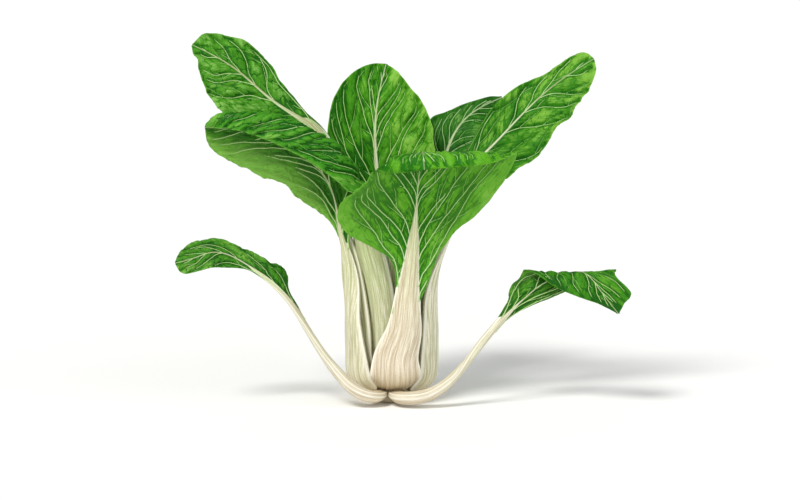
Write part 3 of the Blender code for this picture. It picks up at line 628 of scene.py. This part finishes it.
def ring_quads(rings, sides, first):
    """Outward quads round rings of so many sides, numbered from first."""
    i, j = np.meshgrid(np.arange(rings - 1), np.arange(sides), indexing="ij")
    a = first + i * sides + j
    b = first + i * sides + (j + 1) % sides
    return np.stack([a, b, b + sides, a + sides], axis=-1).reshape(-1, 4)


def tube_faces(rings, first):
    """Quads round a tube of rings and over both its ends."""
    last = first + (rings - 1) * TUBE_SIDES
    caps = [(first, first + 5, first + 4, first + 3), (first, first + 3, first + 2, first + 1),
            (last, last + 1, last + 2, last + 3), (last, last + 3, last + 4, last + 5)]
    return np.concatenate([ring_quads(rings, TUBE_SIDES, first), caps])


def triples(*values):
    """Three numbers for each vertex, from grids of them and single ones."""
    return np.stack(np.broadcast_arrays(*values), axis=-1).reshape(-1, 3)


def dress(leaf):
    """The leaf's vertices, faces and the fields that its material reads."""
    length = spine(leaf)[1][-1]
    shares, columns = rows_of(leaf, length), columns_of(leaf)
    m = middle_of(leaf, shares, columns)
    sign = np.where(columns >= 0, 1, -1)
    far = np.abs(m.across)
    past = far - midrib(leaf, m.rib, m.blade)
    room = np.maximum(m.wide - m.rib, 0.3)
    u = np.clip((far - m.rib) / room, 0, 1)
    x = np.maximum(past, 0)

    near = np.empty_like(far)
    lines_of = {}
    for side, way in ((0, -1), (1, 1)):
        lines_of[way] = vein_lines(leaf, length, side)
        mine = columns * way >= 0
        near[:, mine] = nearest_vein(lines_of[way], m.run[:, mine], far[:, mine])
    near = np.minimum(near, x + 0.2)

    bladed = smooth(room, 2, 12) * smooth(past, 0.3, 4)
    slope = np.where(sign > 0, leaf.slant[1], leaf.slant[0])
    rank = (m.run - slope * x * 0.8) / leaf.cell[0] + sign * 0.3
    edge, number = swellings(rank, x / leaf.cell[1], *leaf.cell, leaf.seed)
    dome = 1 - (1 - part_of(near, 0, DOME))**2
    lump = np.sqrt(np.clip(edge / (leaf.cell[1] * 0.42), 0, 1))
    lump = lump * (2 - lump)
    wave = waves(m.run / 7.5, sign * 4, leaf.seed + 6)
    swell = 0.8 + 0.45 * waves(m.run / 8, x / 8, leaf.seed + 5)
    lump = lump * (0.7 + 0.5 * number) * smooth(near, 0.2, 2.5)
    lift = bladed * (leaf.pillow * (dome - 0.45) * swell + leaf.blister * (lump - 0.45))
    lift = lift + leaf.ruffle * smooth(room, 4, 18) * u**3 * wave

    v = np.clip(m.across / m.rib, -1, 1)
    count = np.clip(leaf.stalk[0] * 0.5, 5, 11)
    cords = v * count / 2 + 0.3 * waves(v * 3, m.run / 60, leaf.seed + 7)
    depth = 0.65 + 0.5 * waves(v * 7, m.run / 90, leaf.seed + 8)
    groove = np.clip((1 - np.abs(np.sin(math.pi * cords))**0.6) * depth, 0, 1)
    height = np.clip(m.rib * 0.05, 0.05, 0.7) * smooth(-past, 0, 1.2)

    normal = grid_normals(m.points, m.normals)
    thin = m.thick - (BLADE_THICK - EDGE_THICK) * smooth(u, 0.85, 1) * smooth(room, 3, 10)
    base = m.points + normal * lift[..., None]
    normal = grid_normals(base, m.normals)
    upper = base + normal * (thin * INNER_SHARE - 0.3 * groove * height)[..., None]
    lower = base - normal * (thin * (1 - INNER_SHARE) - groove * height)[..., None]
    vertices, faces = skin(upper, lower)

    bare = (1 - smooth(room, 0.2, 1.3)) * (1 - smooth(m.blade, 0.3, 0.6))
    place = triples(m.across, m.run, 1)
    known = {
        "place": [place, place * (1, 1, 0)],
        "tissue": [triples(past - 3 * bare, u, near)] * 2,
        # the first of the relief masks picks out the edges of a stalk and its midrib, for the painted rim
        # highlight
        "relief": [triples(smooth(np.abs(m.across / m.rib), 0.8, 0.97), groove, edge)] * 2,
        "growth": [triples(m.blade, m.run / length, number)] * 2,
        "vein": [np.zeros_like(vertices)],
    }
    all_vertices, all_faces, count = [vertices], [faces], len(vertices)
    for way, lines in lines_of.items():
        for ring, out, run, strength, top in vein_tubes(leaf, lines, way, m, base, normal):
            all_vertices.append(ring.reshape(-1, 3))
            all_faces.append(tube_faces(len(ring), count))
            count += len(all_vertices[-1])
            one = np.ones(ring.shape[:2])
            facts = ((out, run, top), (9 * one, 0.5, 9), (0 * one, 0, 0), (0.5 * one, run / length, 0.5),
                     (one, strength, 0))
            for parts, values in zip(known.values(), facts):
                parts.append(triples(*values))
    fields = {name: np.concatenate(parts) for name, parts in known.items()}
    return np.concatenate(all_vertices), np.concatenate(all_faces), fields


def skin(upper, lower):
    """Vertices and outward faces of the closed solid between two grids of points."""
    rows, columns = upper.shape[:2]
    top = np.arange(rows * columns).reshape(rows, columns)
    low = top + rows * columns

    def quads(*corners):
        return np.stack(corners, axis=-1).reshape(-1, 4)
    faces = np.concatenate([
        quads(top[:-1, :-1], top[1:, :-1], top[1:, 1:], top[:-1, 1:]),
        quads(low[:-1, :-1], low[:-1, 1:], low[1:, 1:], low[1:, :-1]),
        quads(top[:-1, 0], low[:-1, 0], low[1:, 0], top[1:, 0]),
        quads(top[:-1, -1], top[1:, -1], low[1:, -1], low[:-1, -1]),
        quads(top[0, :-1], top[0, 1:], low[0, 1:], low[0, :-1]),
        quads(top[-1, :-1], low[-1, :-1], low[-1, 1:], top[-1, 1:]),
    ])
    return np.concatenate([upper.reshape(-1, 3), lower.reshape(-1, 3)]), faces


def make_mesh(name, vertices, faces):
    mesh = bpy.data.meshes.new(name)
    mesh.vertices.add(len(vertices))
    mesh.vertices.foreach_set("co", (vertices * MM).astype(np.float32).ravel())
    mesh.loops.add(faces.size)
    mesh.loops.foreach_set("vertex_index", faces.astype(np.int32).ravel())
    mesh.polygons.add(len(faces))
    mesh.polygons.foreach_set("loop_start", np.arange(0, faces.size, faces.shape[1], dtype=np.int32))
    mesh.update(calc_edges=True)
    mesh.validate()
    mesh.shade_smooth()
    return mesh


# ---- materials

def linear(colour):
    """What Blender takes for a colour that is given in 0-255 screen values."""
    parts = np.array(colour) / 255
    return (*np.where(parts <= 0.04045, parts / 12.92, ((parts + 0.055) / 1.055)**2.4), 1)


class Graph:
    """Short calls for one material's nodes. A tuple is a screen colour."""

    def __init__(self, name):
        self.material = bpy.data.materials.new(name)
        self.material.use_nodes = True
        tree = self.material.node_tree
        self.nodes, self.links = tree.nodes, tree.links
        self.shader = self.nodes["Principled BSDF"]

    def put(self, socket, value):
        if isinstance(value, bpy.types.NodeSocket):
            self.links.new(value, socket)
        else:
            socket.default_value = linear(value) if isinstance(value, tuple) else value

    def node(self, kind, *values, **named):
        """A new node with its first inputs filled in order, and others by name."""
        node = self.nodes.new("ShaderNode" + kind)
        for socket, value in zip(node.inputs, values):
            self.put(socket, value)
        for name, value in named.items():
            self.put(node.inputs[name], value)
        return node

    def split(self, vector):
        return tuple(self.node("SeparateXYZ", vector).outputs)

    def field(self, name):
        node = self.node("Attribute")
        node.attribute_name = name
        return self.split(node.outputs["Vector"])

    def math(self, operation, *values):
        node = self.node("Math", *values)
        node.operation = operation
        return node.outputs[0]

    def times(self, value, other):
        return self.math("MULTIPLY", value, other)

    def weigh(self, start, *terms):
        """start plus the sum of (value - middle) * weight."""
        for value, middle, weight in terms:
            part = self.times(self.math("SUBTRACT", value, middle), weight)
            start = self.math("ADD", start, part)
        return start

    def ramp(self, value, low, high, start=0, end=1):
        """A smooth step from start at low to end at high."""
        node = self.node("MapRange", value, low, high, start, end)
        node.interpolation_type = "SMOOTHSTEP"
        return node.outputs[0]

    def mix(self, share, one, other):
        node = self.node("Mix", share)
        node.data_type = "RGBA"
        self.put(node.inputs[6], one)  # its colours are inputs 6 and 7, and output 2
        self.put(node.inputs[7], other)
        return node.outputs[2]

    def vector(self, x, y, z):
        return self.node("CombineXYZ", x, y, z).outputs[0]

    def noise(self, vector, scale, detail, roughness):
        named = dict(Vector=vector, Scale=scale, Detail=detail, Roughness=roughness)
        return self.node("TexNoise", **named).outputs[0]

    def surface(self, colour, roughness, relief):
        """What the material looks like, with a grain a fifth of a millimetre deep."""
        bump = self.node("Bump", Height=relief, Distance=0.2 * MM, Strength=0.6).outputs[0]
        for name, value in (("Base Color", colour), ("Roughness", roughness), ("Normal", bump)):
            self.put(self.shader.inputs[name], value)


def leaf_material(leaf):
    g = Graph(leaf.name)
    across, run, upper = g.field("place")
    past, u, near = g.field("tissue")
    rim_highlight, groove, edge = g.field("relief")
    blade, share, number = g.field("growth")
    is_vein, strength, _ = g.field("vein")

    flat = g.vector(across, run, g.times(upper, 40))
    wash = g.noise(flat, 0.045, 3, 0.55)
    blotch = g.noise(flat, 0.16, 3, 0.6)
    grain = g.noise(flat, 1.3, 2, 0.6)
    rank = g.math("SUBTRACT", run, g.times(past, sum(leaf.slant) / 2))
    brushed = g.vector(rank, g.times(past, 0.22), g.times(across, 0.02))
    strokes = g.noise(brushed, 0.42, 3, 0.65)

    # the blade between its veins
    # painted shade: darker in the grooves between the small swellings
    crease_shade = g.times(g.ramp(edge, 0.05, 0.6, 1, 0), g.ramp(blotch, 0.38, 0.58, 0.15, 1))
    tone = g.weigh(0.7, (wash, 0.5, 1.1), (blotch, 0.5, 0.5), (strokes, 0.5, 0.9), (grain, 0.5, 0.45),
                   (number, 0.5, leaf.cell_tone_and_crease_shade * 0.2), (crease_shade, 0, -leaf.cell_tone_and_crease_shade),
                   # painted shade darkens the blade beside its veins, and painted light brightens it far from
                   # them, on the swellings' tops
                   (g.ramp(near, 0.2, 3.6), 1, 0.33), (g.ramp(near, 3, 10), 0, 0.14),
                   # painted light: the last term below makes one half of the blade lighter than the other
                   (blade, 0.4, leaf.tipward), (g.ramp(across, -25, 25), 0.5, leaf.painted_side_light))
    low = g.mix(g.ramp(tone, 0.36, 0.66), leaf.deep, leaf.middle)
    green = g.mix(g.ramp(tone, 0.68, 1.08), low, leaf.light)
    green = g.mix(g.ramp(u, 0.965, 1, 0, 0.4), green, leaf.light)
    paler = g.ramp(u, 0.1, 0.9, 0.12 * leaf.under, 1.4 * leaf.under)
    green = g.mix(g.times(g.math("SUBTRACT", 1, upper), paler), green, leaf.pale)
    nerve = g.mix(g.ramp(strength, 0.35, 1, 0, 0.8), g.mix(0.25, leaf.light, leaf.vein), leaf.vein)
    green = g.mix(is_vein, green, nerve)

    # the stalk and the midrib
    drawn = g.vector(across, g.times(run, 0.03), g.times(upper, 9))
    fibre = g.noise(drawn, 0.55, 3, 0.6)
    thread = g.noise(drawn, 1.7, 2, 0.6)
    cream = g.mix(g.ramp(share, 0.08, leaf.neck_at * 0.9 + 0.05), leaf.stalk_low, leaf.stalk_high)
    cream = g.mix(g.ramp(blade, 0.05, 0.9), cream, leaf.vein)
    for value, low, high, start, end, tint in (
            (fibre, 0.42, 0.64, 0, 0.8, leaf.streak),
            (thread, 0.48, 0.66, 0, 0.6, leaf.streak),
            (thread, 0.3, 0.48, 0.6, 0, STALK_PALE_AND_RIM_HIGHLIGHT),
            (groove, 0.35, 1, 0, 0.5, leaf.streak),
            (grain, 0.45, 0.75, 0, 0.5, leaf.streak),
            # browner towards the foot
            (run, 2, 26, 0.5, 0, FOOT_BROWN)):
        cream = g.mix(g.ramp(value, low, high, start, end), cream, tint)
    # painted highlight: the edges of a stalk are mixed towards near-white, as a rim of light
    rim_highlight_amount = g.ramp(g.math("ABSOLUTE", g.math("SUBTRACT", upper, 0.5)), 0.3, 0.48, 0.1, 0.75)
    cream = g.mix(g.times(rim_highlight, rim_highlight_amount), cream, STALK_PALE_AND_RIM_HIGHLIGHT)
    colour = g.mix(g.ramp(past, -0.4, 0.5, 1, 0), green, cream)
    g.surface(colour, g.ramp(grain, 0.2, 0.8, 0.42, 0.56), g.math("ADD", grain, thread))
    g.put(g.shader.inputs["Specular IOR Level"], 0.1)
    return g.material


def stem_material():
    g = Graph("cut_stem")
    where = g.node("TexCoord").outputs["Object"]  # in metres
    grain = g.noise(where, 900, 3, 0.6)
    wash = g.noise(where, 90, 2, 0.5)
    x, y, z = g.split(where)
    radius = g.math("SQRT", g.math("ADD", g.times(x, x), g.times(y, y)))
    wander = g.math("ADD", radius, g.times(wash, 0.002))
    turned = g.math("SINE", g.times(wander, 2600))
    cut = g.ramp(z, 0, 0.0012, 1, 0)
    colour = g.mix(g.ramp(wash, 0.35, 0.7), (214, 202, 170), (180, 168, 124))
    ringed = g.mix(g.ramp(turned, 0.2, 1, 0, 0.35), colour, (190, 186, 140))
    rind = g.mix(g.ramp(radius, 0.0175, 0.0200), ringed, (176, 160, 112))
    colour = g.mix(cut, colour, rind)
    colour = g.mix(g.ramp(grain, 0.5, 0.8, 0, 0.25), colour, (176, 170, 130))
    g.surface(colour, 0.5, grain)
    return g.material


# ---- the pieces

def add_object(name, data):
    thing = bpy.data.objects.new(name, data)
    bpy.context.scene.collection.objects.link(thing)
    return thing


def add_piece(name, mesh, material, node):
    mesh.materials.append(material)
    piece = add_object(name, mesh)
    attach(piece, "root")
    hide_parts(node)


def add_leaf(leaf):
    vertices, faces, fields = dress(leaf)
    mesh = make_mesh(leaf.name + "_fine", vertices, faces)
    for name, values in fields.items():
        attribute = mesh.attributes.new(name, "FLOAT_VECTOR", "POINT")
        attribute.data.foreach_set("vector", values.astype(np.float32).ravel())
    add_piece("bok_choy_" + leaf.name, mesh, leaf_material(leaf), leaf.name)


def add_stem():
    """The stem, turned finely from its outline, with a cut face and slightly lumpy."""
    outline = np.array([(0, 0), (7, 0), (14, 0)] + STEM_OUTLINE + [(0, 58.2)])
    keys = np.r_[0, np.cumsum(np.linalg.norm(np.diff(outline, axis=0), axis=1))]
    at = np.unique(np.r_[np.linspace(0, keys[-1], STEM_ROWS), keys])
    radius, height = np.interp(at, keys, outline[:, 0]), np.interp(at, keys, outline[:, 1])
    turns = np.linspace(0, 2 * math.pi, STEM_SIDES, endpoint=False)
    r = radius[1:-1, None] * np.ones_like(turns)
    z = height[1:-1, None] * np.ones_like(turns)
    lumps = waves(np.cos(turns) * 6, np.sin(turns) * 6, 60) * smooth(z, 0.3, 4)
    r = r + lumps * 0.5 * smooth(r, 2, 10)
    rings = np.stack([r * np.cos(turns), r * np.sin(turns), z], axis=-1)
    vertices = np.concatenate([[[0, 0, height[0]]], rings.reshape(-1, 3), [[0, 0, height[-1]]]])
    faces = ring_quads(len(rings), STEM_SIDES, 1).tolist()
    top = len(vertices) - 1
    sides = range(STEM_SIDES)
    faces += [(0, 1 + (j + 1) % STEM_SIDES, 1 + j) for j in sides]
    faces += [(top, top - STEM_SIDES + j, top - STEM_SIDES + (j + 1) % STEM_SIDES) for j in sides]
    mesh = bpy.data.meshes.new("cut_stem_fine")
    mesh.from_pydata((vertices * MM).tolist(), [], faces)
    mesh.shade_smooth()
    add_piece("bok_choy_cut_stem", mesh, stem_material(), "cut_stem")


def add_floor(size, below):
    """A floor that reaches size metres each way, just below the cut end."""
    mesh = bpy.data.meshes.new("floor")
    corners = [(-size, -size, 0), (size, -size, 0), (size, size, 0), (-size, size, 0)]
    mesh.from_pydata(corners, [], [(0, 1, 2, 3)])
    g = Graph("pale_floor")
    white = (0.98, 0.98, 0.975, 1)
    for name, value in (("Base Color", white), ("Roughness", 1), ("Specular IOR Level", 0)):
        g.shader.inputs[name].default_value = value
    mesh.materials.append(g.material)
    floor = add_object("floor", mesh)
    floor.location.z = -below


def direction(azimuth, elevation):
    """The way to something, where azimuth 0 is the front and the right is positive."""
    a, e = math.radians(azimuth), math.radians(elevation)
    return Vector((math.sin(a) * math.cos(e), -math.cos(a) * math.cos(e), math.sin(e)))


def add_light(name, azimuth, elevation, strength, angle, colour):
    """A soft sun, angle degrees wide."""
    data = bpy.data.lights.new(name, "SUN")
    data.energy = strength
    data.angle = math.radians(angle)
    data.color = colour
    sun = add_object(name, data)
    sun.rotation_euler = direction(azimuth, elevation).to_track_quat("Z", "Y").to_euler()


def add_camera(lens, aim, elevation, distance):
    """The photo's view, from the front. Its lens is in millimetres, aim and distance in metres."""
    data = bpy.data.cameras.new("camera")
    data.lens = lens
    data.clip_end = 200
    camera = add_object("camera", data)
    back = direction(0, elevation)
    camera.location = Vector(aim) + back * distance
    camera.rotation_euler = back.to_track_quat("Z", "Y").to_euler()
    bpy.context.scene.camera = camera


def set_world(strength):
    """Even white light from all round."""
    world = bpy.data.worlds.new("studio")
    world.use_nodes = True
    inputs = world.node_tree.nodes["Background"].inputs
    inputs["Color"].default_value = (1, 1, 1, 1)
    inputs["Strength"].default_value = strength
    bpy.context.scene.world = world
    bpy.context.scene.view_settings.view_transform = "Standard"


add_stem()
for leaf in LEAVES:
    add_leaf(leaf)
add_floor(size=60, below=0.2 * MM)
add_camera(lens=100, aim=(0.0064, 0, 0.1201), elevation=7, distance=1.77778)
set_world(strength=0.42)
add_light("key", azimuth=-36, elevation=50, strength=2.1, angle=18, colour=(1, 0.985, 0.965))
add_light("fill", azimuth=50, elevation=26, strength=0.7, angle=60, colour=(0.98, 0.99, 1))
add_light("front", azimuth=-8, elevation=14, strength=0.5, angle=40, colour=(1, 1, 0.98))
